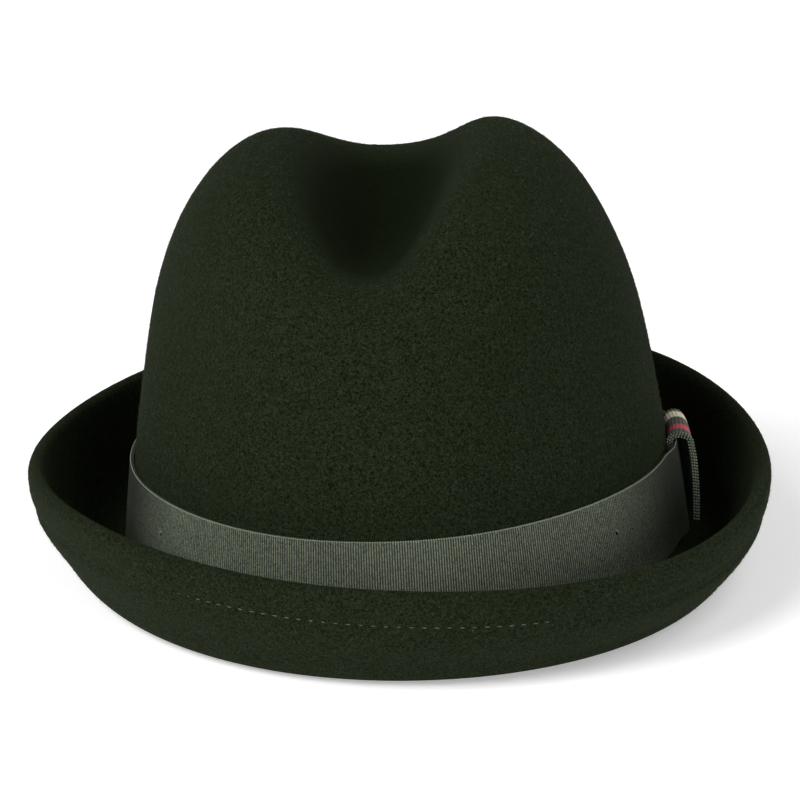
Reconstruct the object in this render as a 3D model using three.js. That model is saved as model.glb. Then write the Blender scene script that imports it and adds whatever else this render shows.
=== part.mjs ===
// A soft felt trilby: one piece of blocked wool felt, a ribbon round the crown and a striped tab on the ribbon.
// Millimetres, +Z up. The hat rests on the underside of its brim at Z = 0, with its front towards -Y, so the
// wearer's left is +X. Directions round the hat are angles from +X towards +Y: the front is at -90 degrees.
import * as THREE from 'three';

// Felt and head opening
const FELT = 2.3;
const CROWN_HALF_WIDTH = 85;
const CROWN_HALF_LENGTH = 101;

// Crown, measured from its foot, where the brim breaks away; the soft brim lets it tilt to the wearer's right
const CROWN_HEIGHT = 130;
const CROWN_SQUARENESS = 3.7;
const SIDE_DRAW_IN = 15;
const FRONT_DRAW_IN = 20;
const BACK_DRAW_IN = 19;
const BACK_RISE = 4;
const LEAN_TO_RIGHT_EAR = 3;
const CROWN_TILT = 1.8;

// Dent along the top of the crown: its floor is a shallow sag, lowest ahead of the middle
const DENT_FLOOR_HEIGHT = 92;
const DENT_LOW_POINT = -30;
const DENT_END_RISE = 9;
const DENT_END_DISTANCE = 60;
const DENT_LIP_SOFTNESS = 26;
const DENT_FRONT = -75;
const DENT_BACK = 60;
const DENT_HALF_WIDTH = { front: 17, middle: 21.5, back: 20 };
const DENT_SQUARENESS = 2.2;
const DENT_CENTRE = { front: 2, back: -4 };
const DENT_SIDE_SHARE = { left: 0.97, right: 1.02 };

// Finger pinches either side of the front
const PINCH_DEPTH = 5;
const PINCH_ANGLE = 46;
const PINCH_HEIGHT = 66;
const PINCH_HALF_HEIGHT = 30;
const PINCH_HALF_WIDTH = 36;

// Brim: a tight break, a short flat run that the hat rests on, then a curl up to the lip
const BREAK_RADIUS = 5;
const FLAT_RUN = 3;
const BRIM_REACH = 25.2;
const BRIM_RISE = 34;
const LIP_ANGLE = 85;
const CURL_HANDLES = { start: 0.6, lip: 0.41 };

// Shares of the brim's reach and rise in eight directions, from the front round by the wearer's left
const BRIM_SHAPE = [
  { direction: 'front', reach: 0.92, rise: 0.92 },
  { direction: 'front left', reach: 1.03, rise: 0.86 },
  { direction: 'left', reach: 0.87, rise: 0.95 },
  { direction: 'back left', reach: 0.8, rise: 1.15 },
  { direction: 'back', reach: 0.98, rise: 1.16 },
  { direction: 'back right', reach: 0.87, rise: 1.07 },
  { direction: 'right', reach: 1.02, rise: 0.9 },
  { direction: 'front right', reach: 0.89, rise: 0.98 },
];

// Edge of the brim, folded once to the outside and stitched down, its raw edge thinned out to nothing
const WELT = 3.2;
const WELT_RUN = 9.5;
const RAW_EDGE_RUN = 12;

// Ribbon round the foot of the crown
const SEAT_GAP = 0.3;
const RIBBON = 1;
const RIBBON_WIDTH = 27;
const RIBBON_ABOVE_FOOT = 1.8;

// Woven tab hooked over the ribbon at the wearer's left, hiding the ribbon's join
const TAB = 1.4;
const TAB_WIDTH = 27;
const TAB_FRONT_EDGE = 0.5;
const TAB_TUCK = 12;
const TAB_STAND_OFF = 2.5;
const TAB_ARCH = 1.2;
const TAB_END_ABOVE_RIBBON_EDGE = 2;
const RIBBON_SPRING_BACK = 10;

// How finely the surfaces are divided
const SEGMENTS = 72;
const CAP_CELLS = SEGMENTS / 4;
const CAP_EDGE = 35;
const ROWS = { wall: 11, breakArc: 4, flat: 1, curl: 8, lip: 4, welt: 3, rawEdge: 3, underCurl: 5 };
const RIBBON_SEGMENTS = 144;
const RIBBON_ROWS = 2;
const TAB_COLUMNS = 8;
const TAB_STEPS = { innerLeg: 2, arch: 8, outerLeg: 5 };
const NUDGE = 1e-3;
const FLAT_SNAP = 1e-5;
const CLOSING_STEPS = 16;
const HALVING_STEPS = 40;
const STEEPEST_WALL_TILT = 60;

const BRIM_TOP = FELT;
const CROWN_FOOT = BRIM_TOP + BREAK_RADIUS;
const RIBBON_BOTTOM = CROWN_FOOT + RIBBON_ABOVE_FOOT;
const RIBBON_TOP = RIBBON_BOTTOM + RIBBON_WIDTH;
const RIBBON_LIFT = TAB + SEAT_GAP;
const DEGREES = Math.PI / 180;
const FRONT_TO_BACK = new THREE.Vector3(0, 1, 0);

const FELT_MATERIAL = new THREE.MeshStandardMaterial({ color: 0x191e14, roughness: 0.95, metalness: 0 });
const RIBBON_MATERIAL = new THREE.MeshStandardMaterial({ color: 0x465041, roughness: 0.7, metalness: 0 });
const TAB_MATERIAL = new THREE.MeshStandardMaterial({ color: 0x55614c, roughness: 0.75, metalness: 0 });

const clamp = THREE.MathUtils.clamp;
const lerp = THREE.MathUtils.lerp;

function smoothLower(a, b, softness) {
  const share = clamp(0.5 + (0.5 * (b - a)) / softness, 0, 1);
  return lerp(b, a, share) - softness * share * (1 - share);
}

// Crown before it is dented: a and b are shares of the half width and half length, up is a share of the height
function blockPoint(a, b, up) {
  const drawIn = lerp(FRONT_DRAW_IN, BACK_DRAW_IN, (1 + b) / 2);
  const x = a * (CROWN_HALF_WIDTH - SIDE_DRAW_IN * up);
  const y = b * (CROWN_HALF_LENGTH - drawIn * up);
  const z = CROWN_FOOT + up * (CROWN_HEIGHT + (BACK_RISE * y) / CROWN_HALF_LENGTH);
  return new THREE.Vector3(x, y, z);
}

// Height of the undented crown on its centre line, found by closing in on the share of height at this y
function ridgeHeight(y) {
  let up = 1;
  let b = 0;
  for (let step = 0; step < CLOSING_STEPS; step += 1) {
    const drawIn = lerp(FRONT_DRAW_IN, BACK_DRAW_IN, (1 + b) / 2);
    b = y / (CROWN_HALF_LENGTH - drawIn * up);
    const edge = Math.min(Math.abs(b), 1);
    up = (up + Math.pow(1 - Math.pow(edge, CROWN_SQUARENESS), 1 / CROWN_SQUARENESS)) / 2;
  }
  return blockPoint(0, b, up).z;
}

function dentDepth(x, y) {
  const along = clamp((y - DENT_FRONT) / (DENT_BACK - DENT_FRONT), 0, 1);
  const centre = lerp(DENT_CENTRE.front, DENT_CENTRE.back, along);
  const { front, middle, back } = DENT_HALF_WIDTH;
  const swell = 2 * middle - (front + back) / 2;
  const plain = front * (1 - along) ** 2 + 2 * swell * along * (1 - along) + back * along ** 2;
  const side = x > centre ? DENT_SIDE_SHARE.left : DENT_SIDE_SHARE.right;
  const across = Math.abs(x - centre) / (plain * side);
  const ridge = ridgeHeight(y);
  const rise = DENT_END_RISE * ((y - DENT_LOW_POINT) / DENT_END_DISTANCE) ** 2;
  const floor = CROWN_FOOT + DENT_FLOOR_HEIGHT + rise;
  return (ridge - smoothLower(ridge, floor, DENT_LIP_SOFTNESS)) * Math.exp(-(across ** DENT_SQUARENESS));
}

function pinchDepth(angle, z) {
  let depth = 0;
  for (const side of [-1, 1]) {
    const centre = (side * PINCH_ANGLE - 90) * DEGREES;
    const turn = THREE.MathUtils.euclideanModulo(angle - centre + Math.PI, 2 * Math.PI) - Math.PI;
    const across = (turn * CROWN_HALF_WIDTH) / PINCH_HALF_WIDTH;
    const above = (z - CROWN_FOOT - PINCH_HEIGHT) / PINCH_HALF_HEIGHT;
    depth += PINCH_DEPTH * Math.exp(-(across ** 2) - above ** 2);
  }
  return depth;
}

// Outside of the crown: tilt is 0 at the foot and 90 degrees at the tip
function crownPoint(angle, tilt) {
  const power = CROWN_SQUARENESS;
  const c = Math.max(Math.cos(tilt), 0);
  const s = Math.max(Math.sin(tilt), 0);
  const scale = (c ** power + s ** power) ** (-1 / power);
  const round = c * scale;
  const up = s * scale;
  const point = blockPoint(round * Math.cos(angle), round * Math.sin(angle), up);
  const pinch = pinchDepth(angle, point.z);
  point.x -= pinch * Math.cos(angle);
  point.y -= pinch * Math.sin(angle);
  point.z -= dentDepth(point.x, point.y);
  point.x -= LEAN_TO_RIGHT_EAR * up;
  point.z -= CROWN_FOOT;
  point.applyAxisAngle(FRONT_TO_BACK, -CROWN_TILT * DEGREES);
  point.z += CROWN_FOOT;
  return point;
}

// A closed curve through the eight directions of the brim table
function brimShare(angle, column) {
  const rows = BRIM_SHAPE.length;
  const place = THREE.MathUtils.euclideanModulo(angle / DEGREES + 90, 360) / (360 / rows);
  const row = Math.floor(place);
  const t = place - row;
  const [p0, p1, p2, p3] = [-1, 0, 1, 2].map((step) => BRIM_SHAPE[(row + step + rows) % rows][column]);
  const bend = (2 * p0 - 5 * p1 + 4 * p2 - p3) * t ** 2 + (-p0 + 3 * p1 - 3 * p2 + p3) * t ** 3;
  return (2 * p1 + (p2 - p0) * t + bend) / 2;
}

const curls = new Map();

// The curl's section in one direction, as distance out from the crown's foot and height above the rest plane
function curlSection(angle) {
  if (!curls.has(angle)) {
    const lipRadius = (FELT + WELT) / 2;
    const start = BREAK_RADIUS + FLAT_RUN;
    const reach = BRIM_REACH * brimShare(angle, 'reach');
    const rise = BRIM_RISE * brimShare(angle, 'rise') - lipRadius;
    const handle = CURL_HANDLES.lip * rise;
    curls.set(angle, new THREE.CubicBezierCurve(
      new THREE.Vector2(start, BRIM_TOP),
      new THREE.Vector2(lerp(start, reach, CURL_HANDLES.start), BRIM_TOP),
      new THREE.Vector2(reach - handle / Math.tan(LIP_ANGLE * DEGREES), BRIM_TOP + rise - handle),
      new THREE.Vector2(reach, BRIM_TOP + rise),
    ));
  }
  return curls.get(angle);
}

// Upper surface of the brim: the break is 0 to 1, the flat run 1 to 2 and the curl 2 to 3
function brimPoint(angle, place) {
  const foot = crownPoint(angle, 0);
  let out = 0;
  let height = 0;
  if (place <= 1) {
    const turn = place * 90 * DEGREES;
    out = BREAK_RADIUS * (1 - Math.cos(turn));
    height = lerp(foot.z, BRIM_TOP, Math.sin(turn));
  } else if (place <= 2) {
    out = BREAK_RADIUS + FLAT_RUN * (place - 1);
    height = BRIM_TOP;
  } else {
    const section = curlSection(angle).getPoint(place - 2);
    out = section.x;
    height = section.y;
  }
  const outward = new THREE.Vector3(Math.cos(angle) / CROWN_HALF_WIDTH, Math.sin(angle) / CROWN_HALF_LENGTH, 0);
  foot.addScaledVector(outward.normalize(), out);
  foot.z = height;
  return foot;
}

// Places along the outer surface, counted from the crown's tip at 0
const FOOT = 1;
const FLAT_START = 2;
const CURL_START = 3;
const LIP = 4;

function skinPoint(angle, place) {
  return place <= FOOT ? crownPoint(angle, (FOOT - place) * 90 * DEGREES) : brimPoint(angle, place - FOOT);
}

// A point on a surface of two parameters, with its outward normal and its tangent along the second one
function frameOf(surface, u, v, vLimit) {
  const ahead = Math.min(v + NUDGE, vLimit);
  const along = surface(u, ahead).sub(surface(u, v - NUDGE));
  const across = surface(u + NUDGE, v).sub(surface(u - NUDGE, v));
  const normal = new THREE.Vector3().crossVectors(across, along).normalize().negate();
  return { point: surface(u, v), normal, tangent: along.normalize() };
}

const skinFrame = (angle, place) => frameOf(skinPoint, angle, place, LIP);

function below(frame, depth) {
  return frame.point.clone().addScaledVector(frame.normal, -depth);
}

// Place on the curl that lies a given run of felt in from the lip
function placeFromLip(angle, run) {
  const section = curlSection(angle);
  return CURL_START + section.getUtoTmapping(1 - run / section.getLength());
}

// A mesh gathered from shared vertices, so that it closes
class Shell {
  constructor() {
    this.positions = [];
    this.faces = [];
  }

  vertex(point) {
    const snapped = Math.abs(point.z) < FLAT_SNAP ? 0 : point.z;
    this.positions.push(point.x, point.y, snapped);
    return this.positions.length / 3 - 1;
  }

  quad(a, b, c, d) {
    this.faces.push(a, b, c, a, c, d);
  }

  // Joins two rings of vertices; the faces look outwards when the second ring is below the first
  strip(upper, lower) {
    upper.forEach((start, index) => {
      const next = (index + 1) % upper.length;
      this.quad(start, lower[index], lower[next], upper[next]);
    });
  }

  geometry() {
    const result = new THREE.BufferGeometry();
    result.setAttribute('position', new THREE.Float32BufferAttribute(this.positions, 3));
    result.setIndex(this.faces);
    result.computeVertexNormals();
    return result;
  }
}

// Square grid laid over the top of the crown, so that no vertex there is a pole; returns its rim as a ring
function addCap(shell, depth, facesUp) {
  const capReach = 1 - CAP_EDGE / 90;
  const spot = (u, v) => crownPoint(Math.atan2(v, u), (1 - capReach * Math.hypot(u, v)) * 90 * DEGREES);
  const line = (index) => Math.SQRT2 * Math.sin(((index / CAP_CELLS) * 90 - 45) * DEGREES);
  const grid = [];
  for (let i = 0; i <= CAP_CELLS; i += 1) {
    const column = [];
    for (let j = 0; j <= CAP_CELLS; j += 1) {
      const x = line(i);
      const y = line(j);
      const u = x * Math.sqrt(1 - y ** 2 / 2);
      const v = y * Math.sqrt(1 - x ** 2 / 2);
      const across = spot(u + NUDGE, v).sub(spot(u - NUDGE, v));
      const along = spot(u, v + NUDGE).sub(spot(u, v - NUDGE));
      const normal = new THREE.Vector3().crossVectors(across, along).normalize();
      column.push(shell.vertex(spot(u, v).addScaledVector(normal, -depth)));
    }
    grid.push(column);
  }
  for (let i = 0; i < CAP_CELLS; i += 1) {
    for (let j = 0; j < CAP_CELLS; j += 1) {
      const corners = [grid[i][j], grid[i + 1][j], grid[i + 1][j + 1], grid[i][j + 1]];
      shell.quad(...(facesUp ? corners : corners.reverse()));
    }
  }
  const last = CAP_CELLS;
  const rim = [];
  for (let step = 0; step < CAP_CELLS; step += 1) rim.push(grid[last][step]);
  for (let step = 0; step < CAP_CELLS; step += 1) rim.push(grid[last - step][last]);
  for (let step = 0; step < CAP_CELLS; step += 1) rim.push(grid[0][last - step]);
  for (let step = 0; step < CAP_CELLS; step += 1) rim.push(grid[step][0]);
  return rim;
}

function evenSteps(from, to, count) {
  return Array.from({ length: count }, (_, index) => lerp(from, to, (index + 1) / count));
}

// The felt: outer skin down to the lip, round the folded edge, and back up along the inside
function feltGeometry() {
  const shell = new Shell();
  const firstAngle = -45 * DEGREES;
  const angles = Array.from({ length: SEGMENTS }, (_, index) => firstAngle + (index * 2 * Math.PI) / SEGMENTS);
  const ring = (pointAt) => angles.map((angle) => shell.vertex(pointAt(angle)));
  const sheet = (place, depth) => ring((angle) => below(skinFrame(angle, place), depth));
  const edge = FELT + WELT;
  const capPlace = FOOT - CAP_EDGE / 90;

  const rings = [addCap(shell, 0, true)];
  for (const place of evenSteps(capPlace, FOOT, ROWS.wall)) rings.push(sheet(place, 0));
  for (const place of evenSteps(FOOT, FLAT_START, ROWS.breakArc)) rings.push(sheet(place, 0));
  for (const place of evenSteps(FLAT_START, CURL_START, ROWS.flat)) rings.push(sheet(place, 0));
  for (const place of evenSteps(CURL_START, LIP, ROWS.curl)) rings.push(sheet(place, 0));

  for (const turn of evenSteps(0, 180, ROWS.lip)) {
    rings.push(ring((angle) => {
      const frame = skinFrame(angle, LIP);
      const centre = below(frame, edge / 2);
      centre.addScaledVector(frame.normal, (edge / 2) * Math.cos(turn * DEGREES));
      return centre.addScaledVector(frame.tangent, (edge / 2) * Math.sin(turn * DEGREES));
    }));
  }
  for (const run of evenSteps(0, WELT_RUN, ROWS.welt)) {
    rings.push(ring((angle) => below(skinFrame(angle, placeFromLip(angle, run)), edge)));
  }
  for (const share of evenSteps(0, 1, ROWS.rawEdge)) {
    const run = WELT_RUN + RAW_EDGE_RUN * share;
    rings.push(ring((angle) => below(skinFrame(angle, placeFromLip(angle, run)), lerp(edge, FELT, share))));
  }
  const plainStart = (angle) => placeFromLip(angle, WELT_RUN + RAW_EDGE_RUN);
  for (const share of evenSteps(0, 1, ROWS.underCurl)) {
    rings.push(ring((angle) => below(skinFrame(angle, lerp(plainStart(angle), CURL_START, share)), FELT)));
  }
  for (const place of evenSteps(CURL_START, FLAT_START, ROWS.flat)) rings.push(sheet(place, FELT));
  for (const place of evenSteps(FLAT_START, FOOT, ROWS.breakArc)) rings.push(sheet(place, FELT));
  for (const place of evenSteps(FOOT, capPlace, ROWS.wall).slice(0, -1)) rings.push(sheet(place, FELT));
  rings.push(addCap(shell, FELT, false));

  for (let index = 1; index < rings.length; index += 1) shell.strip(rings[index - 1], rings[index]);
  return shell.geometry();
}

// The crown's wall at a height, square to the tilted crown, found by halving the tilt from its foot
function wallFrame(angle, height) {
  const axis = new THREE.Vector3(0, 0, 1).applyAxisAngle(FRONT_TO_BACK, -CROWN_TILT * DEGREES);
  const foot = new THREE.Vector3(0, 0, CROWN_FOOT);
  let low = 0;
  let high = STEEPEST_WALL_TILT * DEGREES;
  for (let step = 0; step < HALVING_STEPS; step += 1) {
    const middle = (low + high) / 2;
    if (crownPoint(angle, middle).sub(foot).dot(axis) + CROWN_FOOT < height) low = middle;
    else high = middle;
  }
  return skinFrame(angle, FOOT - low / (90 * DEGREES));
}

function offWall(angle, height, distance) {
  return below(wallFrame(angle, height), -distance);
}

const TAB_ANGLES = {
  front: TAB_FRONT_EDGE / CROWN_HALF_LENGTH,
  back: (TAB_FRONT_EDGE + TAB_WIDTH) / CROWN_HALF_LENGTH,
};

// How far the ribbon stands out where it passes over the tab's hidden leg
function ribbonLift(angle) {
  const turn = THREE.MathUtils.euclideanModulo(angle + Math.PI, 2 * Math.PI) - Math.PI;
  const margin = (2 * Math.PI) / RIBBON_SEGMENTS;
  const past = Math.max(TAB_ANGLES.front - margin - turn, turn - TAB_ANGLES.back - margin, 0);
  const share = clamp((past * CROWN_HALF_LENGTH) / RIBBON_SPRING_BACK, 0, 1);
  return RIBBON_LIFT * (1 - THREE.MathUtils.smoothstep(share, 0, 1));
}

function ribbonGeometry() {
  const shell = new Shell();
  const angles = Array.from({ length: RIBBON_SEGMENTS }, (_, index) => (index * 2 * Math.PI) / RIBBON_SEGMENTS);
  const heights = [RIBBON_TOP, ...evenSteps(RIBBON_TOP, RIBBON_BOTTOM, RIBBON_ROWS)];
  const ring = (height, distance) => angles.map((angle) => {
    return shell.vertex(offWall(angle, height, SEAT_GAP + ribbonLift(angle) + distance));
  });
  const outside = heights.map((height) => ring(height, RIBBON));
  const inside = heights.toReversed().map((height) => ring(height, 0));
  const rings = [...outside, ...inside, outside[0]];
  for (let index = 1; index < rings.length; index += 1) shell.strip(rings[index - 1], rings[index]);
  return shell.geometry();
}

// Middle line of the tab's strip, as distance off the crown's wall and height: up behind the ribbon, over
// its top edge and down in front, closing on the ribbon near its bottom edge
function tabLine() {
  const ribbonFace = SEAT_GAP + RIBBON_LIFT + RIBBON;
  const inner = SEAT_GAP + TAB / 2;
  const outer = ribbonFace + TAB_STAND_OFF + TAB / 2;
  const shoulder = RIBBON_TOP + SEAT_GAP;
  const archHeight = TAB / 2 + TAB_ARCH;
  const end = new THREE.Vector2(ribbonFace + SEAT_GAP + TAB / 2, RIBBON_BOTTOM + TAB_END_ABOVE_RIBBON_EDGE);
  const points = [new THREE.Vector2(inner, RIBBON_TOP - TAB_TUCK)];
  for (const z of evenSteps(RIBBON_TOP - TAB_TUCK, shoulder, TAB_STEPS.innerLeg)) {
    points.push(new THREE.Vector2(inner, z));
  }
  for (const turn of evenSteps(180, 0, TAB_STEPS.arch)) {
    const out = (inner + outer) / 2 + ((outer - inner) / 2) * Math.cos(turn * DEGREES);
    points.push(new THREE.Vector2(out, shoulder + archHeight * Math.sin(turn * DEGREES)));
  }
  const drop = new THREE.Vector2(outer, lerp(shoulder, end.y, 0.5));
  const leg = new THREE.QuadraticBezierCurve(points.at(-1), drop, end);
  for (const share of evenSteps(0, 1, TAB_STEPS.outerLeg)) points.push(leg.getPoint(share));
  return points;
}

function tabGeometry() {
  const shell = new Shell();
  const line = tabLine();
  const sides = line.map((point, index) => {
    const before = line[Math.max(index - 1, 0)];
    const after = line[Math.min(index + 1, line.length - 1)];
    const along = after.clone().sub(before).normalize();
    return new THREE.Vector2(-along.y, along.x).multiplyScalar(TAB / 2);
  });
  const outline = [
    ...line.map((point, index) => point.clone().add(sides[index])),
    ...line.map((point, index) => point.clone().sub(sides[index])).reverse(),
  ];
  const columns = [TAB_ANGLES.back, ...evenSteps(TAB_ANGLES.back, TAB_ANGLES.front, TAB_COLUMNS)];
  const rings = columns.map((angle) => outline.map((spot) => shell.vertex(offWall(angle, spot.y, spot.x))));
  for (let index = 1; index < rings.length; index += 1) shell.strip(rings[index - 1], rings[index]);
  const last = outline.length - 1;
  for (let index = 0; index < line.length - 1; index += 1) {
    const [back, front] = [rings[0], rings.at(-1)];
    shell.quad(back[index], back[index + 1], back[last - index - 1], back[last - index]);
    shell.quad(front[last - index], front[last - index - 1], front[index + 1], front[index]);
  }
  return shell.geometry();
}

function pieceOf(name, geometry, material) {
  const mesh = new THREE.Mesh(geometry, material);
  mesh.name = name;
  return mesh;
}

const trilby = new THREE.Group();
trilby.add(
  pieceOf('felt_body', feltGeometry(), FELT_MATERIAL),
  pieceOf('hat_band', ribbonGeometry(), RIBBON_MATERIAL),
  pieceOf('side_tab', tabGeometry(), TAB_MATERIAL),
);

// The origin is under the middle of the brim's outline, on the plane that the hat rests on
const middle = new THREE.Box3().setFromObject(trilby, true).getCenter(new THREE.Vector3());
trilby.position.set(-middle.x, -middle.y, 0);

export default trilby;
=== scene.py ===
# A soft felt trilby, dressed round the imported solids. The scene is in metres. The hat's front is towards -Y,
# the wearer's left towards +X, and the underside of the brim rests at z = 0.
import math
import random

import bmesh
import bpy
from mathutils import Matrix, Vector, noise
from mathutils.bvhtree import BVHTree
from mathutils.kdtree import KDTree


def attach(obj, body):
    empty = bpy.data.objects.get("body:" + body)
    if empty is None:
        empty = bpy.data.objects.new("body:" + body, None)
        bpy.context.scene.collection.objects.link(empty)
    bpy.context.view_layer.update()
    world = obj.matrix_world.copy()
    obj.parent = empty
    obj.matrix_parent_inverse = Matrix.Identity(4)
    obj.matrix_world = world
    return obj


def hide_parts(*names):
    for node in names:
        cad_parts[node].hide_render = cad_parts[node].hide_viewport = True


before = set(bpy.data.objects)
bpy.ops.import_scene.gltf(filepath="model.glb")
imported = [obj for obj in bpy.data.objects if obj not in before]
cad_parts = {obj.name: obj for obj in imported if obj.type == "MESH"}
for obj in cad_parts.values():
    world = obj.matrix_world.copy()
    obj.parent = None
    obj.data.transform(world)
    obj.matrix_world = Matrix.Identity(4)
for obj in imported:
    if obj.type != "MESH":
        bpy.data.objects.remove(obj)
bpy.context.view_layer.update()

# Viewpoint. A long lens about a metre away looks a little down on the front of the hat, from slightly to the
# wearer's left. The point under the middle of the brim falls below the middle of a square picture.
MM = 0.001
PICTURE_SIDE = 800
LENS = 3424.2
CAMERA_DISTANCE = 1066 * MM
CAMERA_ELEVATION = math.radians(16.64)
CAMERA_YAW = math.radians(6.99)
CAMERA_ROLL = math.radians(0.21)
HAT_BELOW_MIDDLE = 150.67
SENSOR = 36

camera_axes = (
    Matrix.Rotation(CAMERA_YAW, 3, "Z")
    @ Matrix.Rotation(math.pi / 2 - CAMERA_ELEVATION, 3, "X")
    @ Matrix.Rotation(CAMERA_ROLL, 3, "Z")
)
camera_place = camera_axes @ Vector((0, HAT_BELOW_MIDDLE / LENS, 1)) * CAMERA_DISTANCE
camera = bpy.data.objects.new("camera", bpy.data.cameras.new("camera"))
camera.data.sensor_width = SENSOR
camera.data.lens = LENS * SENSOR / PICTURE_SIDE
camera.data.clip_end = 20
camera.matrix_world = Matrix.Translation(camera_place) @ camera_axes.to_4x4()
bpy.context.scene.collection.objects.link(camera)
bpy.context.scene.camera = camera
bpy.context.scene.view_settings.view_transform = "Standard"

# Studio. The hat stands on a plain pale table that glows a little. A strong soft box stands on its own right,
# a weaker one high up on its left and a third low down there. Pale walls are round it, with a dim ceiling.
TABLE_SIDE = 12
TABLE_GLOW = 0.32
WALL_LIGHT = 0.95
CEILING_LIGHT = 0.15


def new_material(name):
    material = bpy.data.materials.new(name)
    material.use_nodes = True
    return material, material.node_tree, material.node_tree.nodes["Principled BSDF"]


def add_node(tree, kind, values=None, **settings):
    node = tree.nodes.new(kind)
    for name, value in settings.items():
        setattr(node, name, value)
    for name, value in (values or {}).items():
        node.inputs[name].default_value = value
    return node


def set_finish(shader, **values):
    for name, value in values.items():
        shader.inputs[name.replace("_", " ")].default_value = value


def new_piece(name, mesh, *materials):
    piece = bpy.data.objects.new(name, mesh)
    for material in materials:
        mesh.materials.append(material)
    bpy.context.scene.collection.objects.link(piece)
    return piece


def mesh_from(name, form):
    mesh = bpy.data.meshes.new(name)
    form.to_mesh(mesh)
    form.free()
    return mesh


table_form = bmesh.new()
bmesh.ops.create_grid(table_form, x_segments=1, y_segments=1, size=TABLE_SIDE / 2)
table_paint, table_tree, table_shader = new_material("table_paint")
table_grain = add_node(table_tree, "ShaderNodeTexNoise", {"Scale": 90.0, "Detail": 3.0})
table_tone = add_node(table_tree, "ShaderNodeMix", data_type="RGBA")
table_tone.inputs["A"].default_value = (0.91, 0.91, 0.905, 1)
table_tone.inputs["B"].default_value = (0.94, 0.94, 0.94, 1)
table_tree.links.new(table_grain.outputs["Fac"], table_tone.inputs["Factor"])
table_tree.links.new(table_tone.outputs["Result"], table_shader.inputs["Base Color"])
set_finish(table_shader, Roughness=0.9, Specular_IOR_Level=0.1)
set_finish(table_shader, Emission_Color=(1, 1, 1, 1), Emission_Strength=TABLE_GLOW)
new_piece("table", mesh_from("table", table_form), table_paint)

world = bpy.data.worlds.new("studio")
world.use_nodes = True
bpy.context.scene.world = world
room = world.node_tree
direction = add_node(room, "ShaderNodeTexCoord")
height = add_node(room, "ShaderNodeSeparateXYZ")
walls = add_node(room, "ShaderNodeMapRange", {
    "From Min": 0.05, "From Max": 0.5, "To Min": WALL_LIGHT, "To Max": CEILING_LIGHT,
}, interpolation_type="SMOOTHSTEP")
room.links.new(direction.outputs["Generated"], height.inputs["Vector"])
room.links.new(height.outputs["Z"], walls.inputs["Value"])
room.links.new(walls.outputs["Result"], room.nodes["Background"].inputs["Strength"])
room.nodes["Background"].inputs["Color"].default_value = (1, 1, 1, 1)


def soft_box(name, azimuth, elevation, distance, size, power):
    upright = Matrix.Rotation(math.radians(90 - elevation), 3, "X")
    turn = Matrix.Rotation(math.radians(azimuth), 3, "Z") @ upright
    light = bpy.data.lights.new(name, "AREA")
    light.shape = "SQUARE"
    light.size = size
    light.energy = power
    box = bpy.data.objects.new(name, light)
    box.matrix_world = Matrix.Translation(turn @ Vector((0, 0, distance))) @ turn.to_4x4()
    bpy.context.scene.collection.objects.link(box)


soft_box("key_light", -42, 38, 4.0, 2.2, 165)
soft_box("fill_light", 52, 55, 4.0, 2.2, 48)
soft_box("low_light", 38, 10, 4.0, 1.6, 45)

# Felt body. Crown and brim are one cone of wool felt, blocked, steamed and brushed. A dent and two finger
# pinches are pressed in by hand. The nap is short and dull, and lies flatter deep in the dent. Shade is
# painted into the felt's colour there, darker the deeper the dent.
# The dark tone is the felt's own darkest speckle and also the painted shade deep in the dent.
FELT_DARK_AND_DENT_SHADE = (0.0018, 0.0036, 0.0004, 1)
FELT_LIGHT = (0.0165, 0.0220, 0.0112, 1)
FELT_SHEEN = (0.29, 0.40, 0.18, 1)
HAND_WAVE = 0.5 * MM
HAND_WAVE_SIZE = 34 * MM
WAVE_STARTS = 40 * MM
WAVE_FULL = 62 * MM
PRESSED_ABOVE = 78 * MM
BLOCK_ABOVE = 60 * MM


def solid_as_quads(node):
    form = bmesh.new()
    form.from_mesh(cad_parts[node].data)
    bmesh.ops.remove_doubles(form, verts=form.verts, dist=0.001 * MM)
    bmesh.ops.join_triangles(
        form, faces=form.faces, angle_face_threshold=math.pi, angle_shape_threshold=math.pi,
        topology_influence=2)
    return form


def smooth_piece(name, form, *materials):
    piece = new_piece(name, mesh_from(name, form), *materials)
    smoothing = piece.modifiers.new("smoothing", "SUBSURF")
    smoothing.levels = smoothing.render_levels = 2
    shape = piece.evaluated_get(bpy.context.evaluated_depsgraph_get())
    piece.data = bpy.data.meshes.new_from_object(shape)
    piece.modifiers.clear()
    piece.data.shade_smooth()
    return piece


def new_group(name, inputs, outputs):
    group = bpy.data.node_groups.new(name, "ShaderNodeTree")
    for socket, value in inputs.items():
        entry = group.interface.new_socket(socket, in_out="INPUT", socket_type="NodeSocketFloat")
        entry.default_value = value
    for socket in outputs:
        group.interface.new_socket(socket, in_out="OUTPUT", socket_type="NodeSocketFloat")
    return group, group.nodes.new("NodeGroupInput"), group.nodes.new("NodeGroupOutput")


# Loose fibres: a fine speckle and a slow drift of tone, for wool, ribbon and thread alike
fibres, fibres_in, fibres_out = new_group(
    "fibres", {"Fibre Scale": 1500.0, "Drift Share": 0.3}, ["Tone", "Height"])
place = add_node(fibres, "ShaderNodeTexCoord")
speckle = add_node(fibres, "ShaderNodeTexNoise", {"Detail": 3.0, "Roughness": 0.6, "Distortion": 1.2})
drift = add_node(fibres, "ShaderNodeTexNoise", {"Scale": 28.0, "Detail": 3.0, "Roughness": 0.55})
clumps = add_node(fibres, "ShaderNodeTexNoise", {"Scale": 420.0, "Detail": 3.0, "Roughness": 0.6})
relief = add_node(fibres, "ShaderNodeMath", operation="ADD")
sharpen = add_node(fibres, "ShaderNodeMapRange", {"From Min": 0.385, "From Max": 0.615})
blend = add_node(fibres, "ShaderNodeMix", data_type="FLOAT")
for texture in (speckle, drift, clumps):
    fibres.links.new(place.outputs["Object"], texture.inputs["Vector"])
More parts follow.
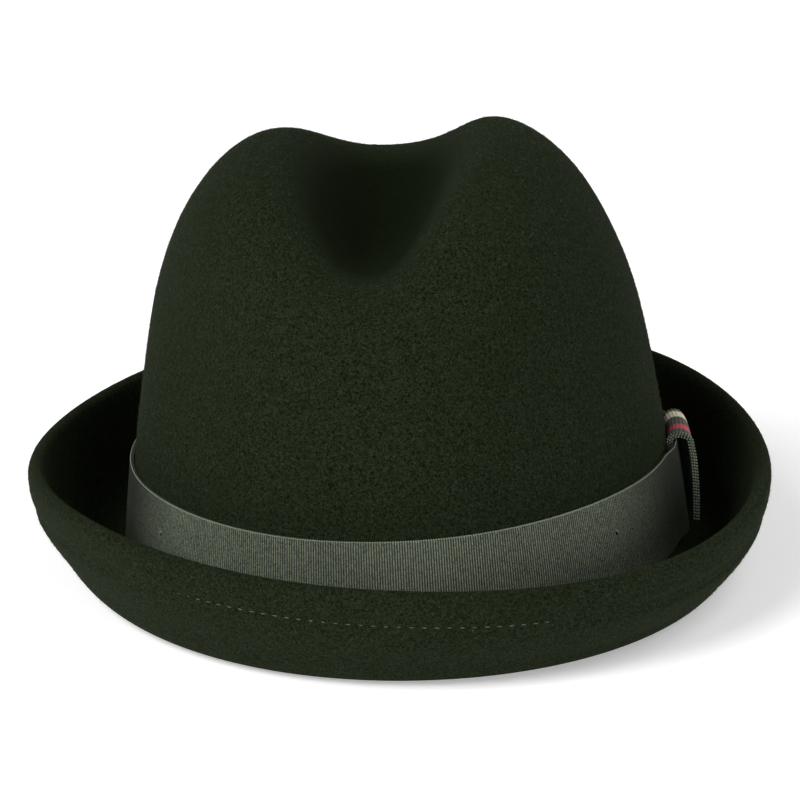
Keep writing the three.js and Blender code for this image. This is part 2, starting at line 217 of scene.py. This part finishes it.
fibres.links.new(fibres_in.outputs["Fibre Scale"], speckle.inputs["Scale"])
fibres.links.new(speckle.outputs["Fac"], sharpen.inputs["Value"])
fibres.links.new(fibres_in.outputs["Drift Share"], blend.inputs["Factor"])
fibres.links.new(sharpen.outputs["Result"], blend.inputs["A"])
fibres.links.new(drift.outputs["Fac"], blend.inputs["B"])
fibres.links.new(speckle.outputs["Fac"], relief.inputs[0])
fibres.links.new(clumps.outputs["Fac"], relief.inputs[1])
fibres.links.new(blend.outputs["Result"], fibres_out.inputs["Tone"])
fibres.links.new(relief.outputs["Value"], fibres_out.inputs["Height"])


def mapped(tree, attribute, from_min, from_max, to_min, to_max):
    """Reads a value stored on the mesh and brings it into another range."""
    stored = add_node(tree, "ShaderNodeAttribute", attribute_name=attribute)
    spread = add_node(tree, "ShaderNodeMapRange", {
        "From Min": from_min, "From Max": from_max, "To Min": to_min, "To Max": to_max})
    tree.links.new(stored.outputs["Fac"], spread.inputs["Value"])
    return spread.outputs["Result"]


def fibre_finish(tree, shader, dark, light, fibre_scale, drift_share, relief_depth, share=None):
    """Speckles a material between two tones and gives it the relief of its fibres."""
    group = add_node(tree, "ShaderNodeGroup", node_tree=fibres)
    group.inputs["Fibre Scale"].default_value = fibre_scale
    group.inputs["Drift Share"].default_value = drift_share
    tone = add_node(tree, "ShaderNodeMix", data_type="RGBA")
    tone.inputs["A"].default_value = dark
    tone.inputs["B"].default_value = light
    bump = add_node(tree, "ShaderNodeBump", {"Strength": 0.6, "Distance": relief_depth})
    factor = group.outputs["Tone"]
    # A share, where given, scales the speckle towards the dark tone; the felt, ribbon and tab pass painted
    # light and shade through it.
    if share:
        shaded = add_node(tree, "ShaderNodeMath", operation="MULTIPLY")
        tree.links.new(factor, shaded.inputs[0])
        tree.links.new(share, shaded.inputs[1])
        factor = shaded.outputs["Value"]
    tree.links.new(factor, tone.inputs["Factor"])
    tree.links.new(group.outputs["Height"], bump.inputs["Height"])
    tree.links.new(tone.outputs["Result"], shader.inputs["Base Color"])
    tree.links.new(bump.outputs["Normal"], shader.inputs["Normal"])
    return tone


wool_felt, felt_tree, felt_shader = new_material("wool_felt")
# Painted shade: the deeper the dent, the more the felt's colour is pulled towards its dark tone.
painted_dent_shade_share = mapped(felt_tree, "pressed", 6.0, 15.0, 1.0, 0.12)
fibre_finish(felt_tree, felt_shader, FELT_DARK_AND_DENT_SHADE, FELT_LIGHT, 1450.0, 0.12, 1.2 * MM, painted_dent_shade_share)
set_finish(felt_shader, Roughness=0.95, Specular_IOR_Level=0.03)
set_finish(felt_shader, Sheen_Weight=0.04, Sheen_Roughness=0.4, Sheen_Tint=FELT_SHEEN)

felt = smooth_piece("felt", solid_as_quads("felt_body"), wool_felt)
for vertex in felt.data.vertices:
    share = min(max((vertex.co.z - WAVE_STARTS) / (WAVE_FULL - WAVE_STARTS), 0), 1)
    wave = noise.noise(vertex.co / HAND_WAVE_SIZE)
    vertex.co += vertex.co.normalized() * (HAND_WAVE * wave * share)
felt_surface = bmesh.new()
felt_surface.from_mesh(felt.data)
felt_faces = BVHTree.FromBMesh(felt_surface)
felt_surface.free()

# A tight cloth laid over the crown would touch its humps and span the dent: its distance is the pressed depth
block = solid_as_quads("felt_body")
low_points = [vertex for vertex in block.verts if vertex.co.z < BLOCK_ABOVE]
bmesh.ops.delete(block, geom=low_points, context="VERTS")
bmesh.ops.delete(block, geom=block.faces, context="FACES_ONLY")
bmesh.ops.convex_hull(block, input=block.verts)
tight_cloth = BVHTree.FromBMesh(block)
block.free()
pressed = felt.data.attributes.new("pressed", "FLOAT", "POINT")
for index, vertex in enumerate(felt.data.vertices):
    if vertex.co.z > PRESSED_ABOVE:
        pressed.data[index].value = tight_cloth.find_nearest(vertex.co)[3] / MM

# Welt stitching. One line of lock stitches holds the folded edge about 11 mm below the lip. Its grey-green
# thread lies in a shallow groove, in short dashes that sink into the felt, with the raw edge just below it.
STITCH_BELOW_LIP = 10.8 * MM
STITCH_PITCH = 3.5 * MM
STITCH_HALF_LENGTH = 0.8 * MM
THREAD_RADIUS = 0.2 * MM
THREAD_DARK = (0.022, 0.029, 0.017, 1)
THREAD_LIGHT = (0.070, 0.083, 0.058, 1)
# Painted shade: dark beads sunk between the dashes stand for the shade inside the needle holes.
HOLE_SHADE = (0.001, 0.0016, 0.0006, 1)
HOLE_RADIUS = 0.3 * MM
GROOVE_DEPTH = 0.3 * MM
GROOVE_HALF_WIDTH = 1.3 * MM
GROOVE_REACH = 8 * MM
FACES_ALIKE = 0.3
RAW_EDGE_BELOW_STITCHES = 2.2 * MM
RAW_EDGE_STEP = 0.35 * MM
RAW_EDGE_HALF_WIDTH = 0.8 * MM
SUNK = {"everywhere": 0.35, "slowly": 0.4, "unevenly": 0.6, "where_rolled": 1.6, "at_most": 1.4}
SLOW_CHANGE = 30 * MM
UNEVEN_CHANGE = 5 * MM
UNEVEN_LENGTH = 0.35
FAR_OUT = 250 * MM
BRIM_STANDS_OUT = 12 * MM
PROBE_STEP = 0.5 * MM
PROBES = 360
ROLL_STARTS = 50 * MM
ROLL_FULL = 76 * MM


def brim_face(angle, height):
    """Where a level line towards the hat's axis meets the felt, with the normal there."""
    outward = Vector((math.cos(angle), math.sin(angle), 0))
    return felt_faces.ray_cast(outward * FAR_OUT + Vector((0, 0, height)), -outward)[:2]


def lip_height(angle):
    """Closes in on the height above which a level line passes over the lip and meets the crown."""
    under, over = 20 * MM, 60 * MM
    outward = Vector((math.cos(angle), math.sin(angle), 0))
    crown_reach = brim_face(angle, over)[0].dot(outward)
    while over - under > 0.02 * MM:
        middle = (under + over) / 2
        if brim_face(angle, middle)[0].dot(outward) > crown_reach + BRIM_STANDS_OUT:
            under = middle
        else:
            over = middle
    return under


def below_lip(angle, run):
    """The point on the outside of the brim a given run of felt below its lip, with the normal there."""
    height = lip_height(angle)
    point, normal = brim_face(angle, height)
    while run > 0:
        height -= PROBE_STEP
        following, normal = brim_face(angle, height)
        run -= (following - point).length
        point = following
    return point, normal


def bead(name, finish):
    """A small round bead, its poles along X, that is stretched into a stitch, a loop, or a dark patch of
    painted shade in a needle hole.
    """
    form = bmesh.new()
    bmesh.ops.create_uvsphere(
        form, u_segments=8, v_segments=6, radius=1, matrix=Matrix.Rotation(math.pi / 2, 4, "Y"))
    for face in form.faces:
        face.material_index = finish
        face.smooth = True
    return mesh_from(name, form)


def add_thread(form, shape, middle, along, normal, half_length, radius):
    """A short length of thread on a surface, thickest in the middle, with both ends sunk in."""
    side = normal.cross(along).normalized()
    turn = Matrix((along, side, normal)).transposed().to_4x4()
    copy = shape.copy()
    copy.transform(Matrix.Translation(middle) @ turn @ Matrix.Diagonal((half_length, radius, radius, 1)))
    form.from_mesh(copy)
    bpy.data.meshes.remove(copy)


def rolled(point):
    """How hard the brim is rolled: fully at the two front corners, not in the middle or behind."""
    sideways = min(max((abs(point.x) - ROLL_STARTS) / (ROLL_FULL - ROLL_STARTS), 0), 1)
    return sideways * min(max(1 - point.y / ROLL_FULL, 0), 1)


seam = [below_lip(math.radians(360 * index / PROBES), STITCH_BELOW_LIP) for index in range(PROBES)]
seam_finder = KDTree(PROBES)
for index, (point, normal) in enumerate(seam):
    seam_finder.insert(point, index)
seam_finder.balance()
facings = [vertex.normal.copy() for vertex in felt.data.vertices]
for vertex, facing in zip(felt.data.vertices, facings):
    point, index, distance = seam_finder.find(vertex.co)
    normal = seam[index][1]
    if distance < GROOVE_REACH and facing.dot(normal) > FACES_ALIKE:
        before, after = seam[index - 1][0], seam[(index + 1) % PROBES][0]
        along = (after - before).normalized()
        drop = (vertex.co - point).dot(normal.cross(along).normalized() * -1)
        groove = GROOVE_DEPTH * math.exp(-(drop / GROOVE_HALF_WIDTH) ** 2)
        past = (drop - RAW_EDGE_BELOW_STITCHES) / RAW_EDGE_HALF_WIDTH
        step = RAW_EDGE_STEP * math.exp(-past ** 2)
        vertex.co -= normal * (groove + step) * (1 + rolled(point))
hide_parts("felt_body")
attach(felt, "root")

# Nap. Short wisps of loose wool stand off the outside of the felt, so its outline is soft and its face has
# fine points of light. Each wisp is a few fibres thick, rooted in the felt and brushed nearly flat.
NAP_FIBRES = 36000
FIBRES_IN_A_TUFT = 200
FIBRE_LENGTHS = (0.6 * MM, 1.5 * MM)
FIBRE_LIFTS = (5, 40)
FIBRE_RADIUS = 0.055 * MM
FIBRE_SHARE_IN_FELT = 0.1
NAP_SEED = 7
CROWN_MIDDLE = Vector((0, 0, 40 * MM))
BAND_TOP = 42 * MM
BRIM_BEYOND = 106 * MM
CLEAR_OF_TABLE = 4 * MM
NAP_LIES_FLAT = 6
LOOSE_WOOL_DARK = (0.012, 0.016, 0.008, 1)
LOOSE_WOOL_LIGHT = (0.060, 0.070, 0.048, 1)

loose_wool, wool_tree, wool_shader = new_material("loose_wool")
fibre_finish(wool_tree, wool_shader, LOOSE_WOOL_DARK, LOOSE_WOOL_LIGHT, 900.0, 0.1, 0.02 * MM)
set_finish(wool_shader, Roughness=0.9, Specular_IOR_Level=0.05)
needle_form = bmesh.new()
bmesh.ops.create_cone(
    needle_form, cap_ends=True, segments=3, radius1=1, radius2=0, depth=1,
    matrix=Matrix.Translation((0, 0, 0.5 - FIBRE_SHARE_IN_FELT)))
needle = mesh_from("needle", needle_form)


def grows_nap(face):
    """Whether a face is on the outside of crown or brim, clear of ribbon, table and the deep of the dent."""
    on_outside = face.normal.dot(face.center - CROWN_MIDDLE) > 0
    raised = pressed.data[face.vertices[0]].value < NAP_LIES_FLAT
    on_brim = face.center.xy.length > BRIM_BEYOND and face.center.z > CLEAR_OF_TABLE
    return on_outside and raised and (face.center.z > BAND_TOP or on_brim)


chance = random.Random(NAP_SEED)
outside = [face for face in felt.data.polygons if grows_nap(face)]
nap_form = bmesh.new()
tuft_form = bmesh.new()
for number, face in enumerate(chance.choices(outside, [face.area for face in outside], k=NAP_FIBRES), 1):
    corners = [felt.data.vertices[index].co for index in face.vertices]
    near_edge = corners[0].lerp(corners[1], chance.random())
    far_edge = corners[3].lerp(corners[2], chance.random())
    root = near_edge.lerp(far_edge, chance.random())
    lift = math.radians(chance.uniform(*FIBRE_LIFTS))
    turn = Matrix.Rotation(chance.uniform(0, 2 * math.pi), 3, face.normal)
    flat = turn @ face.normal.orthogonal().normalized()
    along = flat * math.cos(lift) + face.normal * math.sin(lift)
    size = Matrix.Diagonal((FIBRE_RADIUS, FIBRE_RADIUS, chance.uniform(*FIBRE_LENGTHS), 1))
    fibre = needle.copy()
    fibre.transform(Matrix.Translation(root) @ along.to_track_quat("Z", "Y").to_matrix().to_4x4() @ size)
    tuft_form.from_mesh(fibre)
    bpy.data.meshes.remove(fibre)
    if number % FIBRES_IN_A_TUFT == 0:
        tuft = mesh_from("tuft", tuft_form)
        nap_form.from_mesh(tuft)
        bpy.data.meshes.remove(tuft)
        tuft_form = bmesh.new()
tuft_form.free()
nap = new_piece("nap", mesh_from("nap", nap_form), loose_wool)
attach(nap, "root")

thread, thread_tree, thread_shader = new_material("sewing_thread")
fibre_finish(thread_tree, thread_shader, THREAD_DARK, THREAD_LIGHT, 4000.0, 0.1, 0.05 * MM)
set_finish(thread_shader, Roughness=0.6)
needle_hole_shade, hole_shade_tree, hole_shade_shader = new_material("painted_hole_shade")
fibre_finish(hole_shade_tree, hole_shade_shader, HOLE_SHADE, FELT_DARK_AND_DENT_SHADE, 2600.0, 0.1, 0.05 * MM)
set_finish(hole_shade_shader, Roughness=0.95, Specular_IOR_Level=0.02)

stitch_form = bmesh.new()
thread_bead = bead("thread_bead", 0)
hole_shade_bead = bead("hole_shade_bead", 1)
since_last = 0
for index, (point, normal) in enumerate(seam):
    following, onward = seam[(index + 1) % PROBES]
    stretch = (following - point).length
    while since_last < stretch:
        share = since_last / stretch
        along = (following - point).normalized()
        facing = normal.lerp(onward, share)
        facing = (facing - along * facing.dot(along)).normalized()
        middle = point.lerp(following, share) - facing * GROOVE_DEPTH * (1 + rolled(point))
        uneven = noise.noise(middle / UNEVEN_CHANGE)
        sunk = SUNK["everywhere"] + SUNK["slowly"] * noise.noise(middle / SLOW_CHANGE)
        sunk += SUNK["unevenly"] * uneven + SUNK["where_rolled"] * rolled(point)
        length = STITCH_HALF_LENGTH * (1 + UNEVEN_LENGTH * uneven)
        buried = facing * (min(max(sunk, 0), SUNK["at_most"]) * THREAD_RADIUS)
        add_thread(stitch_form, thread_bead, middle - buried, along, facing, length, THREAD_RADIUS)
        # A dark bead of painted shade in the needle hole between two dashes.
        gap = middle + along * STITCH_PITCH / 2 - facing * HOLE_RADIUS * 0.8
        add_thread(stitch_form, hole_shade_bead, gap, along, facing, HOLE_RADIUS * 1.2, HOLE_RADIUS)
        since_last += STITCH_PITCH
    since_last -= stretch
stitches = new_piece("welt_stitches", mesh_from("welt_stitches", stitch_form), thread, needle_hole_shade)
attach(stitches, "root")

# Hat band. A plain grosgrain ribbon is drawn tight round the foot of the crown, with fine upright ribs. Shade
# is painted in the grooves between the ribs and light on their ridges, with a painted highlight along each
# edge.
# Light is painted on the front and shade towards the sides and back, and small tacks hold it.
# Painted light and shade: the ribbon is paler towards the front and darker towards its sides and back.
PAINTED_LIGHT_TOWARDS = (0.13, -0.99, 0)
PAINTED_LIGHT_BETWEEN = (28 * MM, 74 * MM)
PAINTED_LIGHT_SHARES = (0.12, 1.05)
# Painted shade and light: the grooves between the ribs are painted near black and the ridges pale.
RIBBON_GROOVE_SHADE = (0.004, 0.006, 0.002, 1)
RIBBON_RIDGE_LIGHT = (0.155, 0.180, 0.128, 1)
# Painted highlight: a pale line on the chamfers along the ribbon's edges. The same colours are the tack
# thread.
EDGE_HIGHLIGHT_AND_TACK_DARK = (0.095, 0.112, 0.078, 1)
EDGE_HIGHLIGHT_AND_TACK_LIGHT = (0.190, 0.215, 0.165, 1)
RIB_HEIGHT = 0.13 * MM
RIB_LEVELS = (-1, -1, 1, 1)
CUTS_BETWEEN_SOLID_COLUMNS = 19
SELVEDGE = 0.16 * MM
RIBBON_EDGE_LENGTHS = (3 * MM, 6 * MM)
EDGE_TURNS = math.radians(60)

grosgrain, ribbon_tree, ribbon_shader = new_material("grosgrain")
# Painted rib light and shade: dark in the grooves, pale on the ridges.
painted_rib_light = mapped(ribbon_tree, "rib", -1.0, 1.0, 0.1, 1.25)
where = add_node(ribbon_tree, "ShaderNodeTexCoord")
towards_painted_light = add_node(ribbon_tree, "ShaderNodeVectorMath", {1: PAINTED_LIGHT_TOWARDS}, operation="DOT_PRODUCT")
painted_front_light = add_node(ribbon_tree, "ShaderNodeMapRange", {
    "From Min": PAINTED_LIGHT_BETWEEN[0], "From Max": PAINTED_LIGHT_BETWEEN[1],
    "To Min": PAINTED_LIGHT_SHARES[0], "To Max": PAINTED_LIGHT_SHARES[1],
}, interpolation_type="SMOOTHSTEP")
# The painted front light and the painted rib light and shade multiply into one share.
painted_light_share = add_node(ribbon_tree, "ShaderNodeMath", operation="MULTIPLY")
ribbon_tree.links.new(where.outputs["Object"], towards_painted_light.inputs[0])
ribbon_tree.links.new(towards_painted_light.outputs["Value"], painted_front_light.inputs["Value"])
ribbon_tree.links.new(painted_front_light.outputs["Result"], painted_light_share.inputs[0])
ribbon_tree.links.new(painted_rib_light, painted_light_share.inputs[1])
fibre_finish(
    ribbon_tree, ribbon_shader, RIBBON_GROOVE_SHADE, RIBBON_RIDGE_LIGHT, 1900.0, 0.35, 0.08 * MM,
    painted_light_share.outputs["Value"])
set_finish(ribbon_shader, Roughness=0.6, Specular_IOR_Level=0.2, Sheen_Weight=0.05)
# Painted edge highlight of the ribbon, also used as the tack thread's colour.
edge_highlight_and_tacks, edge_highlight_tree, edge_highlight_shader = new_material("ribbon_edge_highlight_and_tacks")
fibre_finish(edge_highlight_tree, edge_highlight_shader, EDGE_HIGHLIGHT_AND_TACK_DARK, EDGE_HIGHLIGHT_AND_TACK_LIGHT, 2600.0, 0.2, 0.05 * MM)
set_finish(edge_highlight_shader, Roughness=0.6)


def row_from(vertex, edge):
    """The vertices met by going straight on across a mesh of quads, until the row closes or ends."""
    row = [vertex]
    while True:
        vertex = edge.other_vert(vertex)
        if vertex == row[0]:
            return row
        row.append(vertex)
        beside = set(edge.link_faces)
        ahead = [other for other in vertex.link_edges if not beside & set(other.link_faces)]
        if len(ahead) != 1:
            return row
        edge = ahead[0]


def runs_round(edge):
    return RIBBON_EDGE_LENGTHS[0] < edge.calc_length() < RIBBON_EDGE_LENGTHS[1]


band_form = solid_as_quads("hat_band")
long_edges = [
    edge for edge in band_form.edges if runs_round(edge) and edge.calc_face_angle(0) > EDGE_TURNS]
chamfer = bmesh.ops.bevel(
    band_form, geom=long_edges, offset=SELVEDGE, segments=1, profile=0.5, affect="EDGES", material=-1)
# The chamfer faces take the painted edge highlight.
for face in chamfer["faces"]:
    face.material_index = 1
bmesh.ops.subdivide_edges(
    band_form, edges=[edge for edge in band_form.edges if runs_round(edge)],
    cuts=CUTS_BETWEEN_SOLID_COLUMNS, use_grid_fill=True)
band_form.normal_update()
band_form.verts.ensure_lookup_table()
rib = band_form.verts.layers.float.new("rib")
start = band_form.verts[0]
upright = max(start.link_edges, key=lambda edge: abs((edge.verts[0].co - edge.verts[1].co).normalized().z))
section = row_from(start, upright)
section_edges = {
    edge for vertex in section for edge in vertex.link_edges if edge.other_vert(vertex) in section}
moves = []
for first in section:
    spin = Vector((0, 0, 1)).cross(first.co)
    onward = [edge for edge in first.link_edges if edge not in section_edges]
    edge = max(onward, key=lambda other: (other.other_vert(first).co - first.co).dot(spin))
    for index, vertex in enumerate(row_from(first, edge)):
        vertex[rib] = RIB_LEVELS[index % len(RIB_LEVELS)]
        moves.append((vertex, vertex.normal * (RIB_HEIGHT * vertex[rib])))
for vertex, move in moves:
    vertex.co += move
for edge in band_form.edges:
    faces = edge.link_faces
    edge.smooth = faces[0].material_index == faces[1].material_index
band_faces = BVHTree.FromBMesh(band_form)
band = new_piece("ribbon", mesh_from("ribbon", band_form), grosgrain, edge_highlight_and_tacks)
band.data.shade_smooth()
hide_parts("hat_band")
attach(band, "root")

# Tack stitches through the ribbon, each a short slanting thread beside the hole that it comes out of, whose
# shade is painted as a dark bead.
TACKS = ((161, 533, 35), (617, 532, -40))
TACK_HALF_LENGTH = 0.95 * MM
TACK_RADIUS = 0.32 * MM
TACK_HOLE = 0.5 * MM


def in_sight(x, y):
    """The line from the camera through a point of the square picture."""
    half = PICTURE_SIDE / 2
    return (camera_axes @ Vector(((x - half) / LENS, (half - y) / LENS, -1))).normalized()


tack_form = bmesh.new()
for x, y, slant in TACKS:
    point, normal = band_faces.ray_cast(camera_place, in_sight(x, y))[:2]
    level = Vector((0, 0, 1)).cross(normal).normalized()
    along = Matrix.Rotation(math.radians(slant), 3, normal) @ level
    beside = normal.cross(along).normalized()
    above = point + beside * TACK_RADIUS
    below = point - beside * TACK_HOLE
    add_thread(tack_form, thread_bead, above, along, normal, TACK_HALF_LENGTH, TACK_RADIUS)
    add_thread(tack_form, hole_shade_bead, below, along, normal, TACK_HOLE * 1.3, TACK_RADIUS)
tacks = new_piece("ribbon_tacks", mesh_from("ribbon_tacks", tack_form), edge_highlight_and_tacks, needle_hole_shade)
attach(tacks, "root")

# Side tab. A short strip of ribbed, striped ribbon is tucked up behind the band at the wearer's left, folded
# over its top edge and left hanging. Its ribs run from front to back, and its stripes along its outer face.
# Shade is painted in the grooves between its ribs and light on their ridges, the stripes' dye included.
# Painted shade and light: the tab's grooves are painted dark and its ridges pale.
TAB_GROOVE_SHADE = (0.012, 0.021, 0.008, 1)
TAB_RIDGE_LIGHT = (0.125, 0.160, 0.100, 1)
RED = (0.72, 0.035, 0.085, 1)
CREAM = (1.0, 0.86, 0.64, 1)
RED_STRIPE = (4.6, 9.2)
CREAM_STRIPE = (17.0, 22.8)
STRIPE_EDGE = 0.2
TAB_RIB_PITCH = 0.78 * MM
TAB_RIB_HEIGHT = 0.1 * MM
TAB_COLUMNS = 9
FLARE = 1.5 * MM
FLARE_REACH = 6 * MM
FLARE_FROM_STATION = 7
FLARE_STATIONS = 4

striped_ribbon, tab_tree, tab_shader = new_material("striped_ribbon")
# Painted rib light and shade on the tab.
painted_tab_rib_light = mapped(tab_tree, "rib", -1.0, 1.0, 0.1, 1.25)
tab_tone = fibre_finish(tab_tree, tab_shader, TAB_GROOVE_SHADE, TAB_RIDGE_LIGHT, 2600.0, 0.5, 0.05 * MM, painted_tab_rib_light)
colour = tab_tone.outputs["Result"]
for (near, far), dye in ((RED_STRIPE, RED), (CREAM_STRIPE, CREAM)):
    across_strip = add_node(tab_tree, "ShaderNodeAttribute", attribute_name="across")
    middle_of_stripe = add_node(tab_tree, "ShaderNodeMath", {1: (near + far) / 2}, operation="SUBTRACT")
    from_middle = add_node(tab_tree, "ShaderNodeMath", operation="ABSOLUTE")
    in_stripe = add_node(tab_tree, "ShaderNodeMapRange", {
        "From Min": (far - near) / 2 - STRIPE_EDGE, "From Max": (far - near) / 2 + STRIPE_EDGE,
        "To Min": 1.0, "To Max": 0.0})
    # Painted shade: the stripes' dye is dimmed in the grooves between the ribs and full on the ridges.
    stripe_with_painted_rib_shade = add_node(tab_tree, "ShaderNodeMath", operation="MULTIPLY")
    dye_lit_on_ridge = mapped(tab_tree, "rib", -1.0, 1.0, 0.75, 1.0)
    on_right_side = add_node(tab_tree, "ShaderNodeMath", operation="MULTIPLY")
    dyed = add_node(tab_tree, "ShaderNodeMix", data_type="RGBA")
    dyed.inputs["B"].default_value = dye
    tab_tree.links.new(across_strip.outputs["Fac"], middle_of_stripe.inputs[0])
    tab_tree.links.new(middle_of_stripe.outputs["Value"], from_middle.inputs[0])
    tab_tree.links.new(from_middle.outputs["Value"], in_stripe.inputs["Value"])
    tab_tree.links.new(in_stripe.outputs["Result"], stripe_with_painted_rib_shade.inputs[0])
    tab_tree.links.new(dye_lit_on_ridge, stripe_with_painted_rib_shade.inputs[1])
    tab_tree.links.new(stripe_with_painted_rib_shade.outputs["Value"], on_right_side.inputs[0])
    tab_tree.links.new(mapped(tab_tree, "right_side", 0.4, 0.6, 0.0, 1.0), on_right_side.inputs[1])
    tab_tree.links.new(on_right_side.outputs["Value"], dyed.inputs["Factor"])
    tab_tree.links.new(colour, dyed.inputs["A"])
    colour = dyed.outputs["Result"]
tab_tree.links.new(colour, tab_shader.inputs["Base Color"])
set_finish(tab_shader, Roughness=0.6, Specular_IOR_Level=0.2, Sheen_Weight=0.05)

tab_form = solid_as_quads("side_tab")
rib = tab_form.verts.layers.float.new("rib")
across = tab_form.verts.layers.float.new("across")
right_side = tab_form.verts.layers.float.new("right_side")
front_cap = {face for face in tab_form.faces if face.normal.y < -0.8}
corners = [
    vertex for face in front_cap for vertex in face.verts
    if sum(other in front_cap for other in vertex.link_faces) == 1]
tucked_corner = max(corners, key=lambda vertex: vertex.co.z)
rung = next(
    edge for edge in tucked_corner.link_edges
    if edge.other_vert(tucked_corner) in corners and front_cap & set(edge.link_faces))
rungs = [rung]
walked = set()
while True:
    ahead = [face for face in rungs[-1].link_faces if face in front_cap and face not in walked]
    if not ahead:
        break
    walked.add(ahead[0])
    rungs.append(next(
        edge for edge in ahead[0].edges if not set(edge.verts) & set(rungs[-1].verts)))
stations = []
for rung in rungs:
    rows = []
    for vertex in rung.verts:
        edge = next(other for other in vertex.link_edges if not front_cap & set(other.link_faces))
        rows.append(row_from(vertex, edge)[:TAB_COLUMNS])
    stations.append(rows)
middles = [(rung.verts[0].co + rung.verts[1].co) / 2 for rung in rungs]
for number, rows in enumerate(stations):
    down_the_leg = min(max((number - FLARE_FROM_STATION) / FLARE_STATIONS, 0), 1)
    for row in rows:
        fronts = [(vertex, (vertex.co - row[0].co).length) for vertex in row]
        for vertex, distance in fronts:
            vertex.co.x += FLARE * down_the_leg * math.exp(-distance / FLARE_REACH)
rims = ([], [], [])
for rows in stations:
    if rims[0]:
        rows.sort(key=lambda row: (row[0].co - rims[0][-1]).length)
    first_rim, last_rim = [row[0].co.copy() for row in rows]
    rims[0].append(first_rim)
    rims[1].append((first_rim + last_rim) / 2)
    rims[2].append(last_rim)
shown = max((0, 1), key=lambda side: max(point.z for point in rims[2 * side]))
for rows in stations:
    for side, row in enumerate(rows):
        for vertex in row:
            vertex[across] = (vertex.co - row[0].co).length / MM
            vertex[right_side] = float(side == shown)
counts = [max(round((b - a).length / TAB_RIB_PITCH), 1) for a, b in zip(middles, middles[1:])]
rib_number = 0
for rows, count in zip(stations, [0] + counts):
    rib_number += count
    for row in rows:
        for vertex in row:
            vertex[rib] = rib_number
lengths = []
for rows, following, count in zip(stations, stations[1:], counts):
    here = {vertex for row in rows for vertex in row}
    there = {vertex for row in following for vertex in row}
    edges = [edge for vertex in here for edge in vertex.link_edges if edge.other_vert(vertex) in there]
    lengths.append((edges, count))
for edges, count in lengths:
    if count > 1:
        bmesh.ops.subdivide_edges(tab_form, edges=edges, cuts=count - 1, use_grid_fill=True)
tab = smooth_piece("tab", tab_form, striped_ribbon)
rib_values = tab.data.attributes["rib"].data
facings = [vertex.normal.copy() for vertex in tab.data.vertices]
for vertex, facing, number in zip(tab.data.vertices, facings, rib_values):
    number.value = math.cos(2 * math.pi * number.value)
    vertex.co += facing * (TAB_RIB_HEIGHT * number.value)
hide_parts("side_tab")
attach(tab, "root")

# Tab loops. Along the tab's front edge the threads of its weave turn back in three staggered rows of loops,
# from where the strip comes out behind the ribbon to its hanging end, and stand a little proud of its edge.
LOOP_DARK = (0.070, 0.085, 0.058, 1)
LOOP_LIGHT = (0.190, 0.215, 0.165, 1)
LOOP_PITCH = 0.95 * MM
LOOP_LENGTH = 0.34 * MM
LOOP_RADIUS = 0.34 * MM

loop_thread, loop_tree, loop_shader = new_material("tab_loops")
fibre_finish(loop_tree, loop_shader, LOOP_DARK, LOOP_LIGHT, 3000.0, 0.2, 0.05 * MM)
set_finish(loop_shader, Roughness=0.65)
loop_form = bmesh.new()
loop_bead = bead("loop_bead", 0)
for side, edge_line in enumerate(rims):
    since_last = side % 2 * LOOP_PITCH / 2
    for start_point, end_point in zip(edge_line, edge_line[1:]):
        stretch = (end_point - start_point).length
        along = (end_point - start_point).normalized()
        while since_last < stretch:
            middle = start_point + along * since_last
            facing = Vector((0, -1, 0))
            facing = (facing - along * facing.dot(along)).normalized()
            add_thread(loop_form, loop_bead, middle, along, facing, LOOP_LENGTH, LOOP_RADIUS)
            since_last += LOOP_PITCH
        since_last -= stretch
loops = new_piece("tab_loops", mesh_from("tab_loops", loop_form), loop_thread)
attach(loops, "root")
